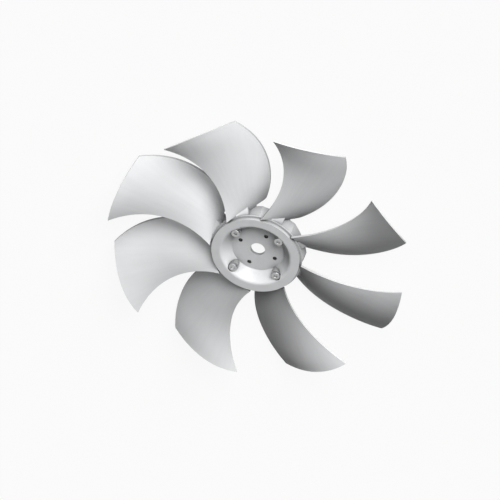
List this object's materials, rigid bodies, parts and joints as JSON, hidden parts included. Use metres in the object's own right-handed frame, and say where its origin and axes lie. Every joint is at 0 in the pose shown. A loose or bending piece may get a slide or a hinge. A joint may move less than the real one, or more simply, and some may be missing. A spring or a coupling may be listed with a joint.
{
  "type": "axial fan impeller",
  "caption": "Axial fan impeller with broad swept blades on an octagonal barrel, clamped round a dished hub with a central bore and a bolt circle for a motor flange.",
  "frame": {"origin": "on the shaft axis, in the rear face of the hub dish, at the rear end of its bore", "axes": "+Z along the shaft axis towards the front of the fan, where the dish opens; +X out along the middle of the first barrel flat; +Y follows the right-hand rule"},
  "size_m": [0.45, 0.45, 0.0552],
  "materials": {
    "blade_plastic": "moulded glass-filled polypropylene, light grey, satin",
    "hub_casting": "die-cast aluminium with a light grey powder coat, satin",
    "fastener_steel": "zinc-plated steel, pale grey"
  },
  "bodies": {
    "root": {"blade_wheel": "blade_plastic", "hub_dish": "hub_casting", "screw_1": "fastener_steel", "screw_2": "fastener_steel", "screw_3": "fastener_steel", "screw_4": "fastener_steel", "washer_1": "fastener_steel", "washer_2": "fastener_steel", "washer_3": "fastener_steel", "washer_4": "fastener_steel", "nut_1": "fastener_steel", "nut_2": "fastener_steel", "nut_3": "fastener_steel", "nut_4": "fastener_steel"}
  },
  "joints": []
}
